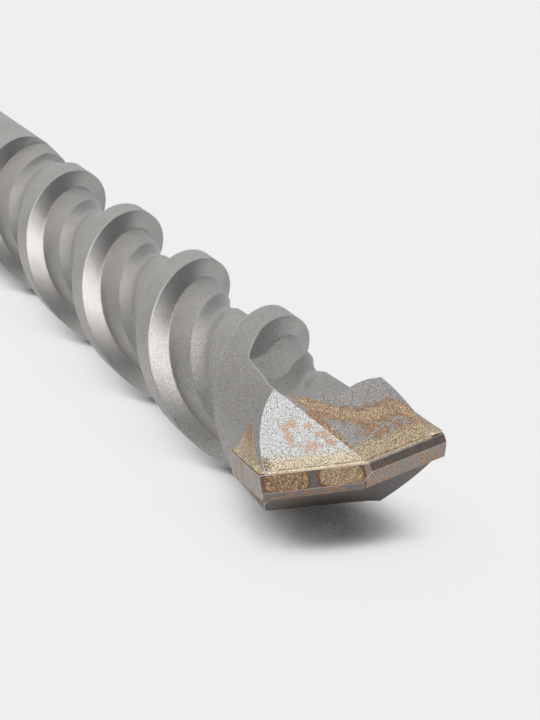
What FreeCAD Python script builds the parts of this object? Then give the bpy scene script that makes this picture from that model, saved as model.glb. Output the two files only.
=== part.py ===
import FreeCAD, Part
import math
import os
from FreeCAD import Vector

os.makedirs("parts", exist_ok=True)

# Hammer drill bit, lying on its flutes. All sizes in mm.
# The long axis runs along X with the carbide tip at +X and the shank at -X.
# Places on the bit are told by the distance back from the tip and by an angle about
# the axis, counted from the long direction of the carbide plate.

# Driving sizes
tip_diameter = 22.0
total_length = 250.0
flute_diameter = 20.4
flute_lead = 59.6
shank_diameter = 10.0
shank_length = 50.0
cone_length = 7.0
plate_thickness = 2.82
plate_depth = 13.0
plate_roll = 6.3
braze_gap = 0.15

# The steel narrows a little towards the head, whose centre lies off the plate's centre
taper_length = 90.0
head_diameter = 19.7
head_across = -0.4
head_up = 0.25

# Ground faces of the carbide plate: rise per mm, and how far the edge lies ahead of centre
edge_slope = 0.32
relief_slope = 0.39
chamfer_slope = 0.48
edge_offset = 0.475

# Front of the steel head: how far it stands back from the plate, and its two facets
steel_setback = 0.2
back_facet_slope = 1.10
front_facet_slope = 1.68
lower_facets_extra = 0.19

# Groove profile of one flute: angle around the screw in degrees, and depth below the flutes
margin_end = (108.7, 0.0)
core_start = (131.8, 3.42)
core_middle = (156.0, 3.54)
core_end = (178.0, 3.62)
valley_fall = (184.0, 3.90)
valley_floor = (191.0, 4.14)
valley_rise = (199.5, 3.96)
valley_side = (206.5, 3.52)
shelf_start = (212.0, 3.08)
shelf_middle = (230.0, 2.72)
shelf_end = (249.6, 2.32)
margin_start = (258.2, 0.0)

# Where the groove leaves the bar: turn angle in degrees, how far it has lifted by then, and
# how far it has moved towards the tip, as an angle around the screw
head_exit = [(129.0, 6.6, 6.8), (125.1, 4.05, 6.8), (121.8, 2.75, 6.6), (117.9, 1.75, 5.6),
             (114.6, 1.30, 4.8), (111.1, 0.95, 4.4), (106.7, 0.55, 3.8), (101.0, 0.2, 2.5),
             (96.0, 0.04, 1.2), (88.0, 0.0, 0.2), (76.0, 0.0, 0.0)]
rear_exit = [(-600.0, 0.0, 0.0), (-620.0, 0.1, -0.4), (-640.0, 0.5, -2.0), (-657.0, 1.25, -4.0),
             (-674.0, 2.1, -5.8), (-695.0, 3.1, -7.2), (-725.0, 4.8, -8.0)]
station_step = 20.0
cutter_excess = 2.2

# Shank: two open drive slots, and two closed locking grooves a quarter turn from them
slot_width = 5.0
slot_depth = 1.5
slot_length = 33.0
lock_width = 5.6
lock_depth = 1.6
lock_start = 7.6
lock_length = 20.0
end_chamfer = 1.0

# Values that follow from the sizes above
tip_radius = tip_diameter / 2
flute_radius = flute_diameter / 2
head_radius = head_diameter / 2
shank_radius = shank_diameter / 2
half_plate = plate_thickness / 2
body_length = total_length - shank_length - cone_length
far = 2 * tip_diameter


def along(distance):
    # Position on X of a point that lies a given distance behind the tip
    return total_length / 2 - distance


def turned(shape, angle):
    # Copy turned about the long axis
    copy = shape.copy()
    copy.rotate(Vector(0, 0, 0), Vector(1, 0, 0), angle)
    return copy


def both_sides(shape):
    # The same shape and its twin half a turn away
    return [shape, turned(shape, 180)]


def groove_section(turn, lift, ahead):
    # Closed outline of the groove cutter in the half plane at one turn angle
    def place(angle, depth):
        distance = (angle - ahead - turn) / 360.0 * flute_lead
        radius = flute_radius - depth + lift
        way = math.radians(turn)
        return Vector(along(distance), radius * math.cos(way), radius * math.sin(way))

    def curve(*profile_points):
        spline = Part.BSplineCurve()
        spline.interpolate([place(*point) for point in profile_points])
        return spline.toShape()

    def flank_top(low, high):
        # A flank goes on in a straight line past the flutes
        share = (low[1] + cutter_excess) / (low[1] - high[1])
        return place(low[0] + share * (high[0] - low[0]), -cutter_excess)

    rear_top = flank_top(core_start, margin_end)
    front_top = flank_top(shelf_end, margin_start)
    return Part.Wire([
        Part.makeLine(rear_top, place(*core_start)),
        curve(core_start, core_middle, core_end),
        curve(core_end, valley_fall, valley_floor, valley_rise, valley_side, shelf_start),
        curve(shelf_start, shelf_middle, shelf_end),
        Part.makeLine(place(*shelf_end), front_top),
        Part.makeLine(front_top, rear_top),
    ])


def groove_cutter():
    # Screw-shaped solid that cuts one flute, lifted clear of the bar at both ends
    first = head_exit[-1][0]
    last = rear_exit[0][0]
    count = round((first - last) / station_step)
    plain = [(first + (last - first) * i / count, 0.0, 0.0) for i in range(1, count)]
    sections = [groove_section(*station) for station in head_exit + plain + rear_exit]
    return Part.makeLoft(sections, True, False)


def revolved(corners, start, sweep):
    # Solid of revolution of an outline of (place on X, radius) about the long axis
    points = [Vector(place, radius, 0) for place, radius in corners]
    face = Part.Face(Part.makePolygon(points + points[:1]))
    return turned(face, start).revolve(Vector(0, 0, 0), Vector(1, 0, 0), sweep)


def tapered_front(depth):
    # Front of the body, from a round section at the taper's start to the one at the head
    wide = Part.makeCircle(flute_radius, Vector(along(taper_length), 0, 0), Vector(1, 0, 0))
    middle = Vector(along(0), head_across, head_up)
    narrow = Part.makeCircle(head_radius, middle, Vector(1, 0, 0))
    front = Part.makeLoft([Part.Wire(wide), Part.Wire(narrow)], True, True)
    block = Part.makeBox(depth, 4 * far, 4 * far, Vector(along(depth), -2 * far, -2 * far))
    return front.common(block)


def lock_edge_angle():
    # Angle about the axis from the middle of a locking groove to its edge
    ball = lock_width / 2
    height = shank_radius - lock_depth + ball
    ratio = (shank_radius ** 2 + height ** 2 - ball ** 2) / (2 * shank_radius * height)
    return math.degrees(math.acos(ratio))


def round_bar():
    # Turned blank before any cutting. The slotted stretch of the shank is made of strips,
    # so that each land between its grooves has a wall of its own.
    rear = along(total_length)
    strips_end = rear + slot_length - slot_width / 2
    shoulder = along(body_length)
    cap = [(rear, 0), (rear, shank_radius - end_chamfer), (rear + end_chamfer, shank_radius),
           (rear + end_chamfer, 0)]
    strip = [(rear + end_chamfer, 0), (rear + end_chamfer, shank_radius),
             (strips_end, shank_radius), (strips_end, 0)]
    body = [(strips_end, 0), (strips_end, shank_radius), (rear + shank_length, shank_radius),
            (shoulder, flute_radius), (along(taper_length), flute_radius), (along(taper_length), 0)]
    half_lock = 0.95 * lock_edge_angle()
    pieces = [revolved(cap, 0, 360), revolved(body, 0, 360), tapered_front(taper_length)]
    for start in (0, 180):
        pieces.append(revolved(strip, start - half_lock, 2 * half_lock))
        pieces.append(revolved(strip, start + half_lock, 180 - 2 * half_lock))
    return pieces[0].fuse(pieces[1:])


def ahead_of_slope(start, across_slope, up_slope, low):
    # Solid that lies ahead of a sloping face: the face starts a given distance behind
    # the tip and falls back per mm across the plate and per mm above it
    corners = []
    for across, up in ((-far, low), (far, low), (far, far), (-far, far)):
        corners.append(Vector(along(start + across_slope * across + up_slope * up), across, up))
    face = Part.Face(Part.makePolygon(corners + corners[:1]))
    return face.extrude(Vector(6 * far, 0, 0))


def facet_cutters():
    # Two facets on the head above the plate and their twins below it
    back_edge = relief_slope * half_plate + steel_setback
    front_edge = chamfer_slope * (half_plate - edge_offset) - relief_slope * edge_offset + steel_setback
    cutters = []
    for turn, extra in ((0, 0.0), (180, lower_facets_extra)):
        for edge, across, up in ((back_edge, -edge_slope, back_facet_slope),
                                 (front_edge, edge_slope, front_facet_slope)):
            start = edge - (up + extra) * half_plate
            facet = ahead_of_slope(start, across, up + extra, half_plate - braze_gap)
            cutters.append(turned(facet, turn))
    return cutters


def plate_block(extra):
    # Square block of the carbide plate, grown at its sides and its rear face
    depth = plate_depth + extra
    corner = Vector(along(depth), -far, -half_plate - extra)
    return Part.makeBox(depth + far, 2 * far, plate_thickness + 2 * extra, corner)


def head_bar(radius, depth):
    # Round bar at the head
    return Part.makeCylinder(radius, depth, Vector(along(depth), 0, 0), Vector(1, 0, 0))


def carbide_plate():
    # Roof-shaped plate: a wide relief face and a narrow leading chamfer on each half
    plate = plate_block(0).common(head_bar(tip_radius, plate_depth))
    relief = ahead_of_slope(0, -edge_slope, relief_slope, -far)
    chamfer_start = -(chamfer_slope + relief_slope) * edge_offset
    chamfer = ahead_of_slope(chamfer_start, -edge_slope, -chamfer_slope, -far)
    return plate.cut(both_sides(relief)).cut(both_sides(chamfer))


def shank_cutters():
    rear = along(total_length)
    # Drive slot with a flat floor, open at the rear end and rounded at the other
    half_slot = slot_width / 2
    straight = slot_length - half_slot
    floor = shank_radius - slot_depth
    slot = Part.makeBox(straight + far, slot_width, far, Vector(rear - far, -half_slot, floor))
    slot_end = Part.makeCylinder(half_slot, far, Vector(rear + straight, 0, floor))
    # Locking groove with a round floor and round ends
    ball = lock_width / 2
    height = shank_radius - lock_depth + ball
    first = Vector(rear + lock_start + ball, height, 0)
    last = Vector(rear + lock_start + lock_length - ball, height, 0)
    tube = Part.makeCylinder(ball, lock_length - lock_width, first, Vector(1, 0, 0))
    lock = tube.fuse([Part.makeSphere(ball, first), Part.makeSphere(ball, last)])
    return both_sides(slot.fuse(slot_end)) + both_sides(lock)


def steel_body(grooves):
    # One piece of steel from the shank to the slotted head
    body = round_bar().cut(grooves)
    body = body.cut(facet_cutters())
    body = body.cut(plate_block(braze_gap))
    return body.cut(shank_cutters())


def braze_layer(grooves):
    # Brass that fills the slot at both sides of the plate and behind it
    layer = plate_block(braze_gap).common(tapered_front(plate_depth + braze_gap))
    layer = layer.cut(plate_block(0))
    return layer.cut(grooves).cut(facet_cutters())


def placed(shape):
    # Rolls the bit to the way it lies and sets its flutes on the ground
    copy = turned(shape, plate_roll)
    copy.translate(Vector(0, 0, flute_radius))
    return copy


grooves = both_sides(groove_cutter())
nodes = {
    "drill_body": steel_body(grooves),
    "carbide_tip": carbide_plate(),
    "braze_seam": braze_layer(grooves),
}
for name, shape in nodes.items():
    placed(shape).exportStep("parts/" + name + ".step")
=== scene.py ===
import math
import bpy
from mathutils import Matrix, Vector


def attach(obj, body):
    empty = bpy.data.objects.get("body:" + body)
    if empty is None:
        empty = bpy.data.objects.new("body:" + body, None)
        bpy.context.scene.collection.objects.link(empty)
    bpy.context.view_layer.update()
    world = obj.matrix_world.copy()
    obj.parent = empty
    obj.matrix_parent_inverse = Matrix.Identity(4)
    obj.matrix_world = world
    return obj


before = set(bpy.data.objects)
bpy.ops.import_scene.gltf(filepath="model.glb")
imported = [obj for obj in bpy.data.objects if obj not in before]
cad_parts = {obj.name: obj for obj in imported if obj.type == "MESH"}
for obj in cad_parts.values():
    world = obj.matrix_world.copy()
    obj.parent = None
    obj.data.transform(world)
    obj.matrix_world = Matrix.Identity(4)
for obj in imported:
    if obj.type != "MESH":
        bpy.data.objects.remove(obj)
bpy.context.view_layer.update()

MM = 0.001

# Places and sizes of the bit, as in its solids, in mm and degrees. It lies on its flutes
TIP_X = 125.0
TIP_RADIUS = 11.0
FLUTE_RADIUS = 10.2
AXIS_HEIGHT = FLUTE_RADIUS
PLATE_ROLL = 6.3
HALF_PLATE = 1.41
TAPER_LENGTH = 90.0
HEAD_LENGTH = 12.0
HEAD_RADIUS = 9.85
HEAD_ACROSS = -0.4
HEAD_UP = 0.25

# Ground faces, in rise per mm. The plate's edge lies ahead of its centre by one offset, and
# the steel stands back from the plate by another, in mm
EDGE_SLOPE = 0.32
RELIEF_SLOPE = 0.39
CHAMFER_SLOPE = 0.48
BACK_FACET_SLOPE = 1.10
FRONT_FACET_SLOPE = 1.68
LOWER_FACETS_EXTRA = 0.19
EDGE_OFFSET = 0.475
STEEL_SETBACK = 0.2

# Slopes of the plate's ground faces: how far each falls back per mm across and per mm above
RELIEF = (-EDGE_SLOPE, RELIEF_SLOPE)
CHAMFER = (-EDGE_SLOPE, -CHAMFER_SLOPE)

# Where the two facets of the steel start beside the plate, behind the tip, in mm
BACK_EDGE = RELIEF_SLOPE * HALF_PLATE + STEEL_SETBACK
FRONT_EDGE = CHAMFER_SLOPE * (HALF_PLATE - EDGE_OFFSET) - RELIEF_SLOPE * EDGE_OFFSET + STEEL_SETBACK

# Ridge between the two facets: its place across the bit at the height of the plate's middle,
# and how far it leans to the left per mm above that
RIDGE_LEAN = (FRONT_FACET_SLOPE - BACK_FACET_SLOPE) / (2 * EDGE_SLOPE)
RIDGE_ACROSS = (BACK_EDGE - FRONT_EDGE) / (2 * EDGE_SLOPE) + RIDGE_LEAN * HALF_PLATE

# Colours of the steel, linear
STEEL = (0.53, 0.515, 0.50)
STEEL_SHADE = (0.31, 0.295, 0.28)
STEEL_HEATED = (0.24, 0.225, 0.21)
SILVER = (0.66, 0.66, 0.65)
BRIGHT_SILVER = (0.90, 0.90, 0.895)
DULL_SILVER = (0.63, 0.61, 0.595)
# Bright edges: a painted highlight, on the steel also polish along the lands
BRIGHT_EDGE = (0.92, 0.92, 0.91)
PIT = (0.18, 0.17, 0.165)
# Dark colour of painted shade
PAINTED_SHADE_DARK = (0.07, 0.06, 0.055)

# Colours of the braze and its stains
BRASS = (0.93, 0.76, 0.52)
BRASS_LIGHT = (1.0, 0.88, 0.66)
BRASS_DULL = (0.84, 0.70, 0.50)
BRASS_SHADE = (0.36, 0.27, 0.18)
BRASS_PIT = (0.17, 0.115, 0.07)
COPPER = (0.60, 0.32, 0.19)
COPPER_LIGHT = (0.66, 0.42, 0.27)
COPPER_DARK = (0.20, 0.09, 0.045)
STAIN_COPPER = (0.68, 0.40, 0.24)

# Colours of the carbide plate
CARBIDE = (0.10, 0.095, 0.09)
CARBIDE_LIGHT = (0.20, 0.185, 0.175)
CHAMFER_GREY = (0.19, 0.175, 0.165)
STAINED_GREY = (0.44, 0.345, 0.28)
PLATE_BRASS = (0.70, 0.56, 0.37)
RIM_COPPER = (0.32, 0.16, 0.085)
RELIEF_COPPER = (0.62, 0.40, 0.25)
RELIEF_COPPER_DARK = (0.34, 0.20, 0.12)
PALE_END = (0.55, 0.48, 0.44)

# Colours of the floor and the studio
FLOOR = (0.84, 0.84, 0.84)
FLOOR_SHADE = (0.34, 0.325, 0.31)
PAPER = (0.863, 0.863, 0.863)
STUDIO = (0.725, 0.725, 0.725)
STUDIO_DARK = (0.0, 0.0, 0.0)

# Surfaces: how metallic they are, how rough, and how far their edges are rounded, in mm
METALLIC = 0.85
STEEL_ROUGHNESS = 0.455
CARBIDE_ROUGHNESS = 0.36
BRAZE_ROUGHNESS = 0.45
FLOOR_ROUGHNESS = 0.9
STEEL_ROUNDING = 0.3
CARBIDE_ROUNDING = 0.16

# Relief of the grain: its depth in mm and its strength. The steel's grain is higher near the
# tip, and the brazed patches stand proud of the plate's grain
STEEL_BUMP = (0.10, 0.8)
CARBIDE_BUMP = (0.08, 0.5)
BRAZE_BUMP = (0.10, 0.7)
GRAIN_HEIGHT = 0.3
GRAIN_HEIGHT_NEAR = 0.5
PATCH_HEIGHT = 1.5

# Blasted steel: contrast of its grain, what comes to it near the tip, contrast of its clouds,
# and its tone between shade and steel
GRAIN_CONTRAST = 1.5
GRAIN_CONTRAST_NEAR = 7.0
CLOUD_CONTRAST = 0.6
STEEL_TONE = 0.3

# Samples that each place takes for a rounded edge and for the shade on the floor
ROUNDING_SAMPLES = 6
SHADE_SAMPLES = 8

# Grain and tones: cells per mm, detail and roughness of each noise, and the middle of them all
NOISE_MIDDLE = 0.5
BLASTED_GRAIN = (4.0, 6.0, 0.8)
COARSE_GRAIN = (8.0, 3.0, 0.75)
CLOUDS = (0.25, 2.0, 0.5)
CARBIDE_TONES = (1.2, 4.0, 0.5)

# Pits: values of the grain between which they fade in
BRIGHT_PITS = (0.50, 0.41)
BACK_BRASS_PITS = (0.52, 0.43)
CRUST_PITS = (0.60, 0.48)
DULL_PITS = (0.57, 0.40)
FRONT_BRASS_PITS = (0.54, 0.44)
CARBIDE_PITS = (0.56, 0.45)
BRAZE_PITS = (0.60, 0.40)

# Stains: cells per mm, detail and roughness of each noise, and the values of it between which
# the stain fades in
FLECKS = (3.5, 0.0, 0.5, 0.77, 0.82)
BROKEN_SPOTS = (3.0, 4.0, 0.7, 0.36, 0.50)
BAND_STAINS = (1.5, 5.0, 0.7, 0.39, 0.53)
BLOTCHES = (1.1, 5.0, 0.65, 0.44, 0.54)
SMUDGES = (0.9, 5.0, 0.6, 0.45, 0.60)
RIM_TONES = (0.9, 3.0, 0.5, 0.42, 0.70)
PATCH_STAINS = (2.4, 4.0, 0.7, 0.36, 0.64)

# How strongly each stain, shade or shine shows, from 0 to 1
HEATED_SHARE = 0.27
FLECK_SHARE = 0.9
POLISH_AND_HIGHLIGHT_SHARE = 0.8
# Painted shade on faces turned down
UNDERSIDE_SHADE_SHARE = 0.25
# Painted shade on the lower faces: of the head, more on the back facet's twin, and of the plate
HEAD_LOWER_SHADE = 0.76
BACK_FACET_LOWER_SHADE = 0.21
CARBIDE_LOWER_SHADE = 0.4
SPOT_SHARE = 0.85
BLOTCH_SHARE = 0.9
BAND_BORDER_SHARE = 0.8
BAND_STAIN_SHARE = 0.5
PLATE_SMUDGES = 0.25
CHAMFER_SMUDGES = 0.6
RELIEF_SMUDGES = 0.8
END_SMUDGES = 0.55
END_SHARE = 0.6
EDGE_HIGHLIGHT_SHARE = 0.7
PATCH_STAIN_SHARE = 0.35
PATCH_STAIN_OUTER = 0.55
RUN_STAIN_SHARE = 0.6

# Ragged borders: cells per mm, detail and size of the noise that moves each
RAGGED_ROUGHNESS = 0.68
RAGGED_SPOTS = (1.5, 6.0, 3.8)
RAGGED_BACK_BRASS = (0.55, 4.0, 1.2)
RAGGED_CRUST = (2.0, 4.0, 2.0)
RAGGED_BAND = (1.3, 5.0, 1.5)
RAGGED_STRIP = (1.4, 4.0, 1.0)
RAGGED_FRONT_BRASS = (0.8, 5.0, 1.2)
RAGGED_PATCHES = (1.6, 5.0, 1.4)
RAGGED_RUNS = (0.9, 4.0, 2.0)

# Places between which something fades in, in mm: the grain and the heated steel behind the
# tip, polish with its painted highlight and pale ends away from the axis, and painted bright edges and
# stains across and above the plate
GRAIN_GROWS = (70.0, 10.0)
HEATED = (45.0, 8.0)
LANDS = (FLUTE_RADIUS - 1.6, FLUTE_RADIUS - 0.9)
PLATE_ENDS = (TIP_RADIUS - 0.15, TIP_RADIUS - 0.05)
BRIGHT_EDGES_ABOVE = (-1.3, -1.1)
PATCHES_OUTWARD = (-3.5, -7.0)
BLOTCHES_OUTWARD = (-1.0, 3.2)
BACK_BRASS_BELOW = (3.1, 2.1)
FRONT_BRASS_BELOW = (3.05, 2.35)
RUN_STAINS_ABOVE = (2.6, 4.2)

# Cosines of the angles between which a rounded edge is painted bright as a highlight, and of the angle
# within which a face counts as one of the ground ones
STEEL_EDGES = (0.995, 0.93)
CARBIDE_EDGES = (0.99, 0.93)
SAME_FACE = 0.9994

# Upward parts of the surface's normal between which the underside darkens with painted shade
UNDERSIDE = (0.05, -0.45)

# Copper spots on the bright facet, the crust at its corner, and brazed patches on the plate:
# across and above the plate, half width, half height, in mm
BACK_SPOTS = (
    (-5.5, 5.3, 0.5, 0.5),
    (-6.4, 4.35, 0.45, 0.8),
    (-4.0, 5.0, 0.5, 0.3),
    (-4.5, 3.3, 0.9, 0.5),
    (-2.9, 4.1, 0.7, 0.4),
    (-2.2, 3.4, 0.6, 0.4),
)
CORNER_CRUST = (-9.7, 2.3, 0.5, 0.6)
PLATE_PATCHES = (
    (-8.25, 0.47, 2.2, 0.9),
    (-2.6, 0.5, 2.2, 0.88),
)

# How far the dark rims reach past the patches, in mm, how soft the borders of spots, crust and
# patches are, and how square the patches are across and above
RIM_ACROSS = 0.25
RIM_ABOVE = 0.17
SPOT_SOFTNESS = 0.35
CRUST_SOFTNESS = 0.25
PATCH_SOFTNESS = 0.15
PATCH_CORNERS = (5.0, 4.0)

# Brassy band on the front facet: its height above the plate, the places across between which it
# is level, its climb towards the ridge and its drop at the outer end, its copper border and its
# core away from its middle, and the plain metal above it, in mm
BAND_HEIGHT = 4.35
BAND_LEVEL = (3.4, 7.0)
BAND_CLIMB = 0.17
BAND_CURVE = 1.4
BAND_DROP = 0.7
BAND_BORDER_WITHIN = (0.80, 0.55)
BAND_WITHIN = (0.55, 0.30)
PLAIN_ABOVE = (4.9, 5.2)

# Close to the ridge the band ends at one height. The strip of copper along the ridge ends at
# another, and widens with the height above its foot, in mm
BAND_BELOW = (6.4, 5.8)
BAND_OFF_RIDGE = (0.4, 0.8)
STRIP_BELOW = (6.6, 5.6)
STRIP_WITHIN = (0.25, -0.15)
STRIP_FOOT = 1.6
STRIP_WIDENS = 0.28

# Runs of braze beside the plate's ends: where each starts, ends and is highest behind the tip,
# and how high it climbs above the plate, in mm. Its climb follows a power. It reaches a little
# into the plate, stays under the plate's radius and behind the ground facet, and its inner
# sheet lies at a share of the steel's radius
FLAME = {"front": 3.8, "rear": 13.4, "peak": 10.4, "height": 4.5}
WEB = {"front": 2.6, "rear": 14.2, "peak": 8.4, "height": 3.0}
RUN_CURVE = 1.7
RUN_OVERLAP = 0.05
RUN_THICKNESS = 0.06
RUN_BELOW_TIP = 0.1
RUN_BEHIND_FACET = 0.1
RUN_INSIDE = 0.93
RUN_COLUMNS = 24
RUN_ROWS = 8

# Camera of the photograph: the picture, its lens and the place of the tip in it, in pixels, its
# distance from the tip along its view and its near limit in metres, and its angles above and
# beside the bit
PICTURE = (540, 720)
LENS = 2246.7
TIP_PIXEL = (367.48, 477.52)
CAMERA_DISTANCE = 0.24151
CAMERA_NEAR_LIMIT = 0.01
CAMERA_ABOVE = 16.59
CAMERA_BESIDE = 20.65
SENSOR_WIDTH = 36.0

# Floor, in metres: half its width, and how far what stands on it shades it
FLOOR_HALF = 6.0
SHADE_REACH = 0.018

# How much more open to the sky the floor counts as, in general and at places along the bit, in
# mm. Under the head the shadow leans to one side
OPEN_EVERYWHERE = -0.06
OPEN_BESIDE_FLUTES = 0.20
OPEN_AHEAD = 0.14
OPEN_AT_TIP = 0.06
BESIDE_FLUTES = (TIP_X - 15.0, TIP_X - 40.0)
AHEAD = (TIP_X - 7.0, TIP_X - 1.0)
AT_TIP = (TIP_X - 9.0, TIP_X - 4.0)
SHADOW_LEAN = 0.18
LEAN_ACROSS = (14.0, -12.0)

# Openness between which the floor's shade and its paper fade in, and the paper's full share
SHADE_FADES_IN = (0.40, 0.15)
PAPER_FADES_IN = (0.28, 0.52)
PAPER_SHARE = 0.85

# Way from the bit to the middle of the softbox, its strength and its angle across. Ways to the
# dark gaps beside it, with the cosines of the angles at which a gap is full and ends
SOFTBOX_SIDE = (0.27, -0.09, 0.95)
SOFTBOX_STRENGTH = 1.5
SOFTBOX_ANGLE = 50.0
DARK_GAPS = (
    ((-0.12, 0.86, 0.50), 0.90, 0.79),
    ((0.0, -0.98, 0.12), 0.95, 0.68),
)


class Graph:
    # Short way to write the nodes of a material or a world: a value is a number, a colour or
    # another output
    def __init__(self, owner):
        owner.use_nodes = True
        self.nodes = owner.node_tree.nodes
        self.links = owner.node_tree.links
        self.owner = owner

    def feed(self, socket, value):
        if isinstance(value, bpy.types.NodeSocket):
            self.links.new(value, socket)
        elif isinstance(value, tuple) and socket.type == "RGBA":
            socket.default_value = (*value, 1.0)
        else:
            socket.default_value = value

    def add(self, kind, inputs, **settings):
        node = self.nodes.new(kind)
        for name, value in settings.items():
            setattr(node, name, value)
        for name, value in inputs.items():
            self.feed(node.inputs[name], value)
        return node

    def math(self, operation, *values):
        node = self.add("ShaderNodeMath", dict(enumerate(values)), operation=operation)
        return node.outputs[0]

    def chain(self, operation, values):
        result = values[0]
        for value in values[1:]:
            result = self.math(operation, result, value)
        return result

    def total(self, *values):
        return self.chain("ADD", values)

    def times(self, *values):
        return self.chain("MULTIPLY", values)

    def most(self, *values):
        return self.chain("MAXIMUM", values)

    def less(self, first, second):
        return self.math("SUBTRACT", first, second)

    def vector(self, operation, *values):
        node = self.add("ShaderNodeVectorMath", dict(enumerate(values)), operation=operation)
        name = "Value" if operation == "DOT_PRODUCT" else "Vector"
        return node.outputs[name]

    def split(self, value):
        # The three parts of a vector
        return self.add("ShaderNodeSeparateXYZ", {"Vector": value}).outputs

    def geometry(self, name):
        return self.nodes.new("ShaderNodeNewGeometry").outputs[name]

    def step(self, value, low, high):
        # Smooth rise from 0 to 1 between two values, or fall where low is above high
        inputs = {"Value": value, "From Min": low, "From Max": high}
        node = self.add("ShaderNodeMapRange", inputs, interpolation_type="SMOOTHSTEP")
        return node.outputs["Result"]

    def noise(self, per_mm, detail, rough):
        inputs = {"Vector": self.place, "Scale": per_mm, "Detail": detail, "Roughness": rough}
        return self.add("ShaderNodeTexNoise", inputs).outputs["Fac"]

    def stain(self, per_mm, detail, rough, low, high):
        # 1 where a noise lies past the second of two values
        return self.step(self.noise(per_mm, detail, rough), low, high)

    def ragged(self, per_mm, detail, size):
        # Noise around zero, which makes a border ragged
        noise = self.noise(per_mm, detail, RAGGED_ROUGHNESS)
        return self.times(self.less(noise, NOISE_MIDDLE), size)

    def mix(self, share, first, second):
        # The colour sockets of this node share their names with others, so they go by number
        node = self.nodes.new("ShaderNodeMix")
        node.data_type = "RGBA"
        self.feed(node.inputs["Factor"], share)
        self.feed(node.inputs[6], first)
        self.feed(node.inputs[7], second)
        return node.outputs[2]

    def bump(self, height, distance_mm, strength, normal=None):
        inputs = {"Height": height, "Distance": distance_mm * MM, "Strength": strength}
        if normal is not None:
            inputs["Normal"] = normal
        return self.add("ShaderNodeBump", inputs).outputs["Normal"]

    def rounded(self, radius_mm):
        bevel = self.add("ShaderNodeBevel", {"Radius": radius_mm * MM}, samples=ROUNDING_SAMPLES)
        return bevel.outputs["Normal"]

    def edges(self, rounded, start, full):
        # 1 where the rounded surface turns away from the flat one, as it does along sharp edges
        return self.step(self.vector("DOT_PRODUCT", rounded, self.geometry("Normal")), start, full)

    def place_on_bit(self):
        # Places in mm, in the plate's own axes: the distance behind the tip, and the places
        # across and above the plate, which count the same way on both halves of the bit
        coordinates = self.nodes.new("ShaderNodeTexCoord").outputs["Object"]
        scaled = self.vector("MULTIPLY", coordinates, (1 / MM, 1 / MM, 1 / MM))
        shifted = self.vector("SUBTRACT", scaled, (TIP_X, 0.0, AXIS_HEIGHT))
        inputs = {"Vector": shifted, "Angle": -math.radians(PLATE_ROLL)}
        turned = self.add("ShaderNodeVectorRotate", inputs, rotation_type="X_AXIS")
        self.place = turned.outputs["Vector"]
        ahead, self.plate_y, self.plate_z = self.split(self.place)
        self.behind = self.times(ahead, -1.0)
        self.across = self.times(self.plate_y, self.math("SIGN", self.plate_z))
        self.above = self.math("ABSOLUTE", self.plate_z)
        self.left = self.math("LESS_THAN", self.plate_y, 0.0)
        self.lower = self.less(1.0, self.math("GREATER_THAN", self.plate_z, 0.0))

    def radius(self):
        # Distance from the axis
        squares = [self.times(part, part) for part in (self.across, self.above)]
        return self.math("SQRT", self.total(*squares))

    def facing(self, slopes, where):
        # 1 on a ground face of the upper half or on its twin below, within a region
        true_normal = self.geometry("True Normal")
        roll = Matrix.Rotation(math.radians(PLATE_ROLL), 3, "X")
        found = 0.0
        for turn, (across_slope, up_slope) in zip((0, 180), slopes):
            half_turn = Matrix.Rotation(math.radians(turn), 3, "X")
            way = roll @ half_turn @ Vector((1.0, across_slope, up_slope)).normalized()
            dot = self.vector("DOT_PRODUCT", true_normal, tuple(way))
            found = self.most(found, self.math("GREATER_THAN", dot, SAME_FACE))
        return self.times(found, where)

    def spot(self, across, above, wide, high, ragged, soft):
        # Soft ragged patch around a place across and above the plate
        x = self.math("DIVIDE", self.less(self.across, across), wide)
        y = self.math("DIVIDE", self.less(self.above, above), high)
        distance = self.math("SQRT", self.total(self.times(x, x), self.times(y, y)))
        return self.step(self.total(distance, ragged), 1 + soft, 1 - soft)

    def block(self, across, above, wide, high, ragged):
        # Patch with four rounded corners on the left half of the plate's upper side
        x = self.math("DIVIDE", self.less(self.plate_y, across), wide)
        y = self.math("DIVIDE", self.less(self.plate_z, above), high)
        distance = self.total(*[self.math("POWER", self.math("ABSOLUTE", part), corner)
                                for part, corner in zip((x, y), PATCH_CORNERS)])
        return self.step(self.total(distance, ragged), 1 + PATCH_SOFTNESS, 1 - PATCH_SOFTNESS)

    def painted_lower_shade(self, colour, amount):
        # Painted shade: the faces on the lower side are darker than those on the upper one
        return self.mix(self.times(self.lower, amount), colour, PAINTED_SHADE_DARK)

    def metal(self, colour, roughness, normal):
        # Finished material, with its colour, roughness and grain
        values = {"Base Color": colour, "Metallic": METALLIC, "Roughness": roughness, "Normal": normal}
        for name, value in values.items():
            self.feed(self.nodes["Principled BSDF"].inputs[name], value)
        return self.owner


def facet_slopes(extra):
    # Slopes of the back and the front facet of the steel, or of their steeper twins below
    return (-EDGE_SLOPE, BACK_FACET_SLOPE + extra), (EDGE_SLOPE, FRONT_FACET_SLOPE + extra)


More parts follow.
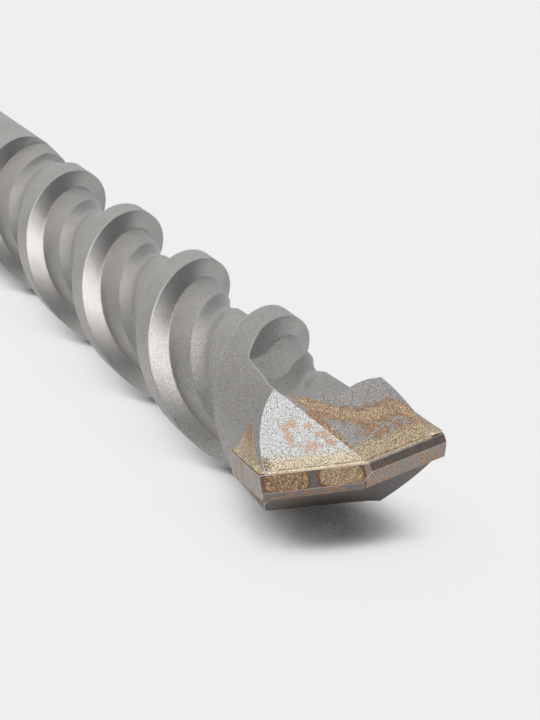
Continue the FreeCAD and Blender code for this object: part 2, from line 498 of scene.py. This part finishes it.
def steel_material():
    graph = Graph(bpy.data.materials.new("blasted_steel"))
    graph.place_on_bit()
    near = graph.step(graph.behind, *GRAIN_GROWS)
    grain = graph.noise(*BLASTED_GRAIN)
    coarse = graph.noise(*COARSE_GRAIN)
    colour = blasted_colour(graph, grain, near)

    # The two ground facets of the head
    at_head = graph.math("LESS_THAN", graph.behind, HEAD_LENGTH)
    back, front = [graph.facing(twins, at_head)
                   for twins in zip(facet_slopes(0.0), facet_slopes(LOWER_FACETS_EXTRA))]
    ground = graph.most(back, front)
    colour = graph.mix(back, colour, back_facet_colour(graph, coarse))
    colour = graph.mix(front, colour, front_facet_colour(graph, coarse))
    # Painted shade on the lower faces of the head, deeper on the back facet's twin
    lower_shade = graph.total(HEAD_LOWER_SHADE, graph.times(back, BACK_FACET_LOWER_SHADE))
    colour = graph.mix(at_head, colour, graph.painted_lower_shade(colour, lower_shade))

    # Lands polished along their edges, with a painted highlight there
    rounded = graph.rounded(STEEL_ROUNDING)
    on_land = graph.step(graph.radius(), *LANDS)
    edges = graph.times(graph.edges(rounded, *STEEL_EDGES), on_land, POLISH_AND_HIGHLIGHT_SHARE)
    colour = graph.mix(edges, colour, graph.mix(ground, SILVER, BRIGHT_EDGE))

    # Painted shade: a little darker underneath
    upward = graph.split(graph.geometry("Normal"))[2]
    underside_shade = graph.times(graph.step(upward, *UNDERSIDE), UNDERSIDE_SHADE_SHARE)
    colour = graph.mix(underside_shade, colour, PAINTED_SHADE_DARK)

    # Fine relief all over, and coarse relief on the facets
    fine = graph.times(grain, graph.total(GRAIN_HEIGHT, graph.times(near, GRAIN_HEIGHT_NEAR)))
    height = graph.total(fine, graph.times(ground, coarse))
    return graph.metal(colour, STEEL_ROUGHNESS, graph.bump(height, *STEEL_BUMP, rounded))


def blasted_colour(graph, grain, near):
    # Blasted grain, seen best close to the tip, where heat has darkened the steel
    contrast = graph.total(GRAIN_CONTRAST, graph.times(near, GRAIN_CONTRAST_NEAR))
    uneven = graph.times(graph.less(grain, NOISE_MIDDLE), contrast)
    clouds = graph.times(graph.noise(*CLOUDS), CLOUD_CONTRAST)
    colour = graph.mix(graph.total(uneven, clouds, STEEL_TONE), STEEL_SHADE, STEEL)
    heated = graph.times(graph.step(graph.behind, *HEATED), HEATED_SHARE)
    colour = graph.mix(heated, colour, STEEL_HEATED)
    flecks = graph.times(graph.stain(*FLECKS), near, FLECK_SHARE)
    return graph.mix(flecks, colour, SILVER)


def back_facet_colour(graph, coarse):
    # Bright pitted metal
    pits = graph.step(coarse, *BRIGHT_PITS)
    colour = graph.mix(pits, BRIGHT_SILVER, PIT)

    # Copper spots
    ragged = graph.ragged(*RAGGED_SPOTS)
    spots = graph.most(*[graph.spot(*spot, ragged, SPOT_SOFTNESS) for spot in BACK_SPOTS])
    spots = graph.times(spots, graph.stain(*BROKEN_SPOTS), SPOT_SHARE)
    colour = graph.mix(spots, colour, graph.mix(pits, COPPER_LIGHT, COPPER))

    # Brass along the plate, and the crust at the corner
    height = graph.total(graph.above, graph.ragged(*RAGGED_BACK_BRASS))
    brass = graph.mix(graph.step(coarse, *BACK_BRASS_PITS), BRASS_LIGHT, BRASS_PIT)
    colour = graph.mix(graph.step(height, *BACK_BRASS_BELOW), colour, brass)
    crust = graph.spot(*CORNER_CRUST, graph.ragged(*RAGGED_CRUST), CRUST_SOFTNESS)
    return graph.mix(graph.times(crust, graph.step(coarse, *CRUST_PITS)), colour, BRASS_PIT)


def front_facet_colour(graph, coarse):
    # Dull pitted metal, with copper blotches towards the end of the plate
    dull = graph.mix(graph.step(coarse, *DULL_PITS), DULL_SILVER, PIT)
    pits = graph.step(coarse, *FRONT_BRASS_PITS)
    brass = graph.mix(pits, BRASS, BRASS_PIT)
    copper = graph.mix(pits, STAIN_COPPER, BRASS_PIT)
    stained = graph.mix(graph.stain(*BAND_STAINS), brass, copper)
    ragged = graph.ragged(*RAGGED_BAND)
    outward = graph.step(graph.total(graph.across, ragged), *BLOTCHES_OUTWARD)
    blotches = graph.times(graph.stain(*BLOTCHES), outward, BLOTCH_SHARE)
    colour = graph.mix(blotches, dull, copper)

    # The brassy band climbs towards the ridge and drops at the outer end. It has copper
    # borders, and plain metal above it
    inner = graph.most(graph.less(BAND_LEVEL[0], graph.across), 0.0)
    climb = graph.times(graph.math("POWER", inner, BAND_CURVE), -BAND_CLIMB)
    drop = graph.times(graph.most(graph.less(graph.across, BAND_LEVEL[1]), 0.0), BAND_DROP)
    height = graph.total(graph.above, climb, drop, ragged)
    colour = graph.mix(graph.step(height, *PLAIN_ABOVE), colour, dull)
    off_band = graph.math("ABSOLUTE", graph.less(height, BAND_HEIGHT))
    lean = graph.times(graph.above, RIDGE_LEAN)
    from_ridge = graph.total(graph.across, lean, -RIDGE_ACROSS)
    clear_of_ridge = graph.most(graph.step(graph.above, *BAND_BELOW),
                                graph.step(from_ridge, *BAND_OFF_RIDGE))
    border = graph.times(graph.step(off_band, *BAND_BORDER_WITHIN), clear_of_ridge, BAND_BORDER_SHARE)
    colour = graph.mix(border, colour, copper)
    band = graph.times(graph.step(off_band, *BAND_WITHIN), clear_of_ridge)
    colour = graph.mix(band, colour, graph.mix(BAND_STAIN_SHARE, brass, stained))

    # The strip along the ridge, wider at the top, and brass by the plate
    wider = graph.times(graph.less(graph.above, STRIP_FOOT), -STRIP_WIDENS)
    from_strip = graph.total(from_ridge, wider, graph.ragged(*RAGGED_STRIP))
    strip = graph.times(graph.step(from_strip, *STRIP_WITHIN), graph.step(graph.above, *STRIP_BELOW))
    colour = graph.mix(strip, colour, stained)
    low = graph.total(graph.above, graph.ragged(*RAGGED_FRONT_BRASS))
    return graph.mix(graph.step(low, *FRONT_BRASS_BELOW), colour, brass)


def carbide_material():
    graph = Graph(bpy.data.materials.new("carbide"))
    graph.place_on_bit()
    grain = graph.noise(*COARSE_GRAIN)
    pits = graph.step(grain, *CARBIDE_PITS)
    smudges = graph.stain(*SMUDGES)
    base = graph.mix(graph.noise(*CARBIDE_TONES), CARBIDE, CARBIDE_LIGHT)
    copper = graph.mix(pits, COPPER, COPPER_DARK)
    colour = graph.mix(graph.times(smudges, PLATE_SMUDGES), base, copper)

    # The narrow face of the left half is paler than that of the other one
    narrow_face = graph.facing((CHAMFER, CHAMFER), graph.left)
    pale = graph.mix(graph.times(smudges, CHAMFER_SMUDGES), CHAMFER_GREY, copper)
    # Painted shade on the plate's lower half
    colour = graph.mix(narrow_face, graph.painted_lower_shade(colour, CARBIDE_LOWER_SHADE), pale)

    # The wide face of one half has two brazed patches, and that of the other is mottled
    wide_face = graph.facing((RELIEF, RELIEF), graph.left)
    patches, patched = patched_face(graph, base, pits)
    colour = graph.mix(wide_face, colour, patched)
    other_face = graph.facing((RELIEF, RELIEF), graph.less(1.0, graph.left))
    grey = graph.mix(pits, STAINED_GREY, CARBIDE_LIGHT)
    relief_copper = graph.mix(pits, RELIEF_COPPER, COPPER_DARK)
    mottled = graph.mix(graph.times(smudges, RELIEF_SMUDGES), grey, relief_copper)
    colour = graph.mix(other_face, colour, mottled)

    # Pale ground ends, and painted highlights along the upper edges
    at_end = graph.times(graph.step(graph.radius(), *PLATE_ENDS), END_SHARE)
    end_colour = graph.mix(graph.times(smudges, END_SMUDGES), PALE_END, RELIEF_COPPER_DARK)
    colour = graph.mix(at_end, colour, end_colour)
    rounded = graph.rounded(CARBIDE_ROUNDING)
    upper = graph.times(graph.step(graph.plate_z, *BRIGHT_EDGES_ABOVE), EDGE_HIGHLIGHT_SHARE)
    colour = graph.mix(graph.times(graph.edges(rounded, *CARBIDE_EDGES), upper), colour, BRIGHT_EDGE)
    height = graph.total(grain, graph.times(patches, PATCH_HEIGHT))
    return graph.metal(colour, CARBIDE_ROUGHNESS, graph.bump(height, *CARBIDE_BUMP, rounded))


def patched_face(graph, base, pits):
    # Two brazed patches with dark rims, more stained towards the end of the plate
    ragged = graph.ragged(*RAGGED_PATCHES)
    patches = graph.most(*[graph.block(*patch, ragged) for patch in PLATE_PATCHES])
    rims = graph.most(*[graph.block(across, above, wide + RIM_ACROSS, high + RIM_ABOVE, ragged)
                        for across, above, wide, high in PLATE_PATCHES])
    face = graph.mix(rims, base, graph.mix(graph.stain(*RIM_TONES), COPPER_DARK, RIM_COPPER))
    outer = graph.times(graph.step(graph.plate_y, *PATCHES_OUTWARD), PATCH_STAIN_OUTER)
    stains = graph.times(graph.stain(*PATCH_STAINS), graph.total(PATCH_STAIN_SHARE, outer))
    brass = graph.mix(stains, graph.mix(pits, PLATE_BRASS, BRASS_PIT), COPPER_DARK)
    return patches, graph.mix(patches, face, brass)


def braze_material():
    graph = Graph(bpy.data.materials.new("braze"))
    graph.place_on_bit()
    grain = graph.noise(*BLASTED_GRAIN)
    pits = graph.step(grain, *BRAZE_PITS)
    height = graph.total(graph.above, graph.ragged(*RAGGED_RUNS))
    stains = graph.times(graph.step(height, *RUN_STAINS_ABOVE), RUN_STAIN_SHARE)
    brass = graph.mix(pits, BRASS_DULL, BRASS_SHADE)
    colour = graph.mix(stains, brass, graph.mix(pits, COPPER, COPPER_DARK))
    return graph.metal(colour, BRAZE_ROUGHNESS, graph.bump(grain, *BRAZE_BUMP))


def add_object(name, data):
    item = bpy.data.objects.new(name, data)
    bpy.context.scene.collection.objects.link(item)
    return item


def steel_surface(way, behind):
    # Point of the turned steel at an angle around the plate, in the plate's own axes, in mm
    share = 1 - behind / TAPER_LENGTH
    radius = FLUTE_RADIUS + (HEAD_RADIUS - FLUTE_RADIUS) * share
    return share * HEAD_ACROSS + radius * math.cos(way), share * HEAD_UP + radius * math.sin(way)


def on_bit(behind, across, above):
    # Place in the scene of a point given in the plate's own axes
    roll = Matrix.Rotation(math.radians(PLATE_ROLL), 3, "X")
    return roll @ Vector((-behind, across, above)) * MM + Vector((TIP_X, 0, AXIS_HEIGHT)) * MM


def run_top(run, behind):
    # Height to which a run of braze climbs at a distance behind the tip
    if behind < run["peak"]:
        reach = (behind - run["front"]) / (run["peak"] - run["front"])
    else:
        reach = (run["rear"] - behind) / (run["rear"] - run["peak"])
    return HALF_PLATE + run["height"] * max(reach, 0.0) ** RUN_CURVE + RUN_OVERLAP


def run_points(run, right, edge, slopes, turn):
    # Outer and inner points of a run of braze. The run fills the step between the plate's end
    # and the steel, grows thin towards its top and stays behind the ground facet
    across_slope, up_slope = slopes
    facet_start = edge - up_slope * HALF_PLATE
    outer = []
    inner = []
    for i in range(RUN_COLUMNS + 1):
        behind = run["front"] + (run["rear"] - run["front"]) * i / RUN_COLUMNS
        top = run_top(run, behind)
        for j in range(RUN_ROWS + 1):
            share = j / RUN_ROWS
            above = HALF_PLATE - RUN_OVERLAP + (top - HALF_PLATE + RUN_OVERLAP) * share
            way = math.asin(above / TIP_RADIUS)
            across, up = steel_surface(way if right else math.pi - way, behind)
            radius = math.hypot(across, up)
            step_height = TIP_RADIUS - RUN_BELOW_TIP - radius
            proud = step_height * (1 - share) ** 2 + RUN_THICKNESS * (1 - share)
            facet = facet_start + across_slope * across + up_slope * up
            place = max(behind, facet + RUN_BEHIND_FACET)
            for points, grown in ((outer, 1 + proud / radius), (inner, RUN_INSIDE)):
                points.append(on_bit(place, turn * across * grown, turn * up * grown))
    return outer + inner


def shell_faces(columns, rows):
    # Faces of a thin closed shell: an outer and an inner grid of points, joined at the border
    column = rows + 1
    inner = (columns + 1) * column
    faces = []
    for i in range(columns):
        for j in range(rows):
            a = i * column + j
            b = a + column
            faces.append((a, b, b + 1, a + 1))
            faces.append((inner + a, inner + a + 1, inner + b + 1, inner + b))
    border = [(i * column, (i + 1) * column) for i in range(columns)]
    border += [((i + 1) * column + rows, i * column + rows) for i in range(columns)]
    border += [(j + 1, j) for j in range(rows)]
    border += [(columns * column + j, columns * column + j + 1) for j in range(rows)]
    for first, second in border:
        faces.append((second, first, inner + first, inner + second))
    return faces


def add_runs():
    # A flame of braze over one end of the plate and a web at the other, and their twins
    material = braze_material()
    for suffix, turn, extra in (("_above", 1, 0.0), ("_below", -1, LOWER_FACETS_EXTRA)):
        back, front = facet_slopes(extra)
        for name, run, right, edge, slopes in (("braze_flame", FLAME, False, BACK_EDGE, back),
                                               ("braze_web", WEB, True, FRONT_EDGE, front)):
            mesh = bpy.data.meshes.new(name + suffix)
            points = run_points(run, right, edge, slopes, turn)
            mesh.from_pydata(points, [], shell_faces(RUN_COLUMNS, RUN_ROWS))
            mesh.shade_smooth()
            piece = add_object(name + suffix, mesh)
            piece.data.materials.append(material)
            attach(piece, "root")


def add_camera():
    # It looks back along the bit from the tip, from above and from one side
    elevation = math.radians(CAMERA_ABOVE)
    swing = math.radians(CAMERA_BESIDE)
    forward = Vector((-math.cos(elevation) * math.cos(swing), math.cos(elevation) * math.sin(swing),
                      -math.sin(elevation)))
    right = Vector((math.sin(swing), math.cos(swing), 0.0))
    up = right.cross(forward)
    tip = Vector((TIP_X, 0.0, AXIS_HEIGHT)) * MM
    across = (TIP_PIXEL[0] - PICTURE[0] / 2) / LENS * CAMERA_DISTANCE
    down = (TIP_PIXEL[1] - PICTURE[1] / 2) / LENS * CAMERA_DISTANCE
    place = tip - forward * CAMERA_DISTANCE - right * across + up * down
    camera = add_object("camera", bpy.data.cameras.new("camera"))
    axes = Matrix((right, up, -forward)).transposed()
    camera.matrix_world = Matrix.Translation(place) @ axes.to_4x4()
    camera.data.sensor_fit = "HORIZONTAL"
    camera.data.sensor_width = SENSOR_WIDTH
    camera.data.lens = LENS / PICTURE[0] * SENSOR_WIDTH
    camera.data.clip_start = CAMERA_NEAR_LIMIT
    bpy.context.scene.camera = camera


def floor_clearness(graph):
    # How open the floor is to the sky. It counts as more open beside the flutes and ahead of
    # the tip than under the head, where the shadow leans to one side
    sky = graph.add("ShaderNodeAmbientOcclusion", {"Distance": SHADE_REACH}, samples=SHADE_SAMPLES)
    position = graph.split(graph.geometry("Position"))
    along, sideways = [graph.math("DIVIDE", part, MM) for part in position[:2]]
    beside_flutes = graph.step(along, *BESIDE_FLUTES)
    beside_head = graph.less(1.0, beside_flutes)
    leaning = graph.times(graph.step(sideways, *LEAN_ACROSS), SHADOW_LEAN)
    lean = graph.times(beside_head, graph.total(leaning, -SHADOW_LEAN / 2))
    ahead = graph.times(graph.step(along, *AHEAD), OPEN_AHEAD)
    at_tip = graph.times(graph.step(along, *AT_TIP), OPEN_AT_TIP)
    beside = graph.times(beside_flutes, OPEN_BESIDE_FLUTES)
    return graph.total(sky.outputs["AO"], OPEN_EVERYWHERE, beside, lean, ahead, at_tip)


def floor_material():
    # Matt pale paper. Where little stands over it, it is seen at its full tone, and close to
    # the bit it keeps the shadow
    graph = Graph(bpy.data.materials.new("floor"))
    shader = graph.nodes["Principled BSDF"]
    clearness = floor_clearness(graph)
    deep = graph.step(clearness, *SHADE_FADES_IN)
    graph.feed(shader.inputs["Base Color"], graph.mix(deep, FLOOR, FLOOR_SHADE))
    graph.feed(shader.inputs["Roughness"], FLOOR_ROUGHNESS)
    graph.feed(shader.inputs["Specular IOR Level"], 0.0)
    paper = graph.add("ShaderNodeEmission", {"Color": PAPER})
    ray = graph.nodes.new("ShaderNodeLightPath").outputs
    seen = graph.total(ray["Is Camera Ray"], ray["Is Glossy Ray"], ray["Is Transmission Ray"])
    clear = graph.times(graph.step(clearness, *PAPER_FADES_IN), PAPER_SHARE)
    share = graph.times(graph.math("MINIMUM", seen, 1.0), clear)
    blend = graph.add("ShaderNodeMixShader", {0: share, 1: shader.outputs[0], 2: paper.outputs[0]})
    graph.feed(graph.nodes["Material Output"].inputs["Surface"], blend.outputs[0])
    return graph.owner


def add_floor():
    mesh = bpy.data.meshes.new("floor")
    corners = [(x * FLOOR_HALF, y * FLOOR_HALF, 0) for x, y in ((-1, -1), (1, -1), (1, 1), (-1, 1))]
    mesh.from_pydata(corners, [], [(0, 1, 2, 3)])
    floor = add_object("floor", mesh)
    floor.data.materials.append(floor_material())


def add_world():
    # Pale studio all round, with dark gaps beside the softbox
    world = bpy.data.worlds.new("world")
    graph = Graph(world)
    way = graph.nodes.new("ShaderNodeTexCoord").outputs["Generated"]
    dark = 0.0
    for side, full, end in DARK_GAPS:
        dot = graph.vector("DOT_PRODUCT", way, tuple(Vector(side).normalized()))
        dark = graph.most(dark, graph.step(dot, end, full))
    graph.feed(graph.nodes["Background"].inputs["Color"], graph.mix(dark, STUDIO, STUDIO_DARK))
    bpy.context.scene.world = world


def add_softbox():
    # Broad soft light from above, in front and to the left
    lamp = bpy.data.lights.new("softbox", "SUN")
    lamp.energy = SOFTBOX_STRENGTH
    lamp.angle = math.radians(SOFTBOX_ANGLE)
    softbox = add_object("softbox", lamp)
    softbox.rotation_euler = (-Vector(SOFTBOX_SIDE)).to_track_quat("-Z", "Y").to_euler()


MATERIALS = {
    "drill_body": steel_material,
    "carbide_tip": carbide_material,
    "braze_seam": braze_material,
}
for name, make_material in MATERIALS.items():
    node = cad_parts[name]
    node.data.materials.clear()
    node.data.materials.append(make_material())
add_runs()
add_camera()
add_floor()
add_world()
add_softbox()

bpy.context.scene.view_settings.view_transform = "Standard"
